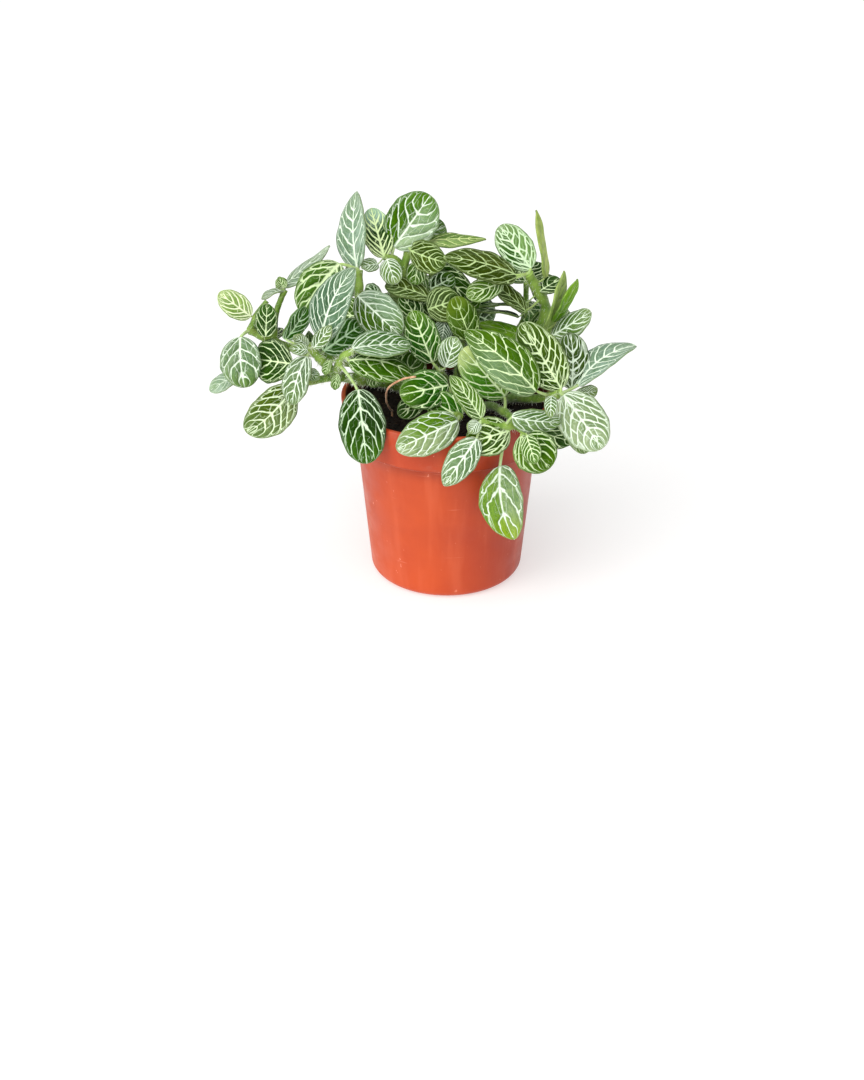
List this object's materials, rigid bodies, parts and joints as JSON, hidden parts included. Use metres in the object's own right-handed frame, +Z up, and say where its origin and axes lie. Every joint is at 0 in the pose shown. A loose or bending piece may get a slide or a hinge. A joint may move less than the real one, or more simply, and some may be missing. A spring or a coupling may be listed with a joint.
{
  "type": "potted nerve plant",
  "caption": "Small bushy nerve plant with white-veined green leaves on creeping stems, standing in soil in a tapered round nursery pot with a raised collar",
  "frame": {"origin": "centre of the pot's flat underside, on the surface that the pot stands on", "axes": "+Z up along the pot's axis, +X to the right of the picture, +Y away from the picture's viewer"},
  "size_m": [0.1187, 0.0907, 0.1087],
  "materials": {
    "pot": "satin",
    "soil": "rough",
    "aerial_root": "matte",
    "foliage": "satin"
  },
  "bodies": {
    "root": {"pot": "pot", "soil": "soil", "aerial_root": "aerial_root", "stem_left": "foliage", "stem_far_left": "foliage", "stem_upper_left": "foliage", "stem_top": "foliage", "stem_middle": "foliage", "stem_centre": "foliage", "stem_front": "foliage", "stem_front_right": "foliage", "stem_right_front": "foliage", "stem_right": "foliage", "stem_upper_right": "foliage", "stem_back_left": "foliage", "stem_back": "foliage", "stem_back_right": "foliage"}
  },
  "joints": []
}
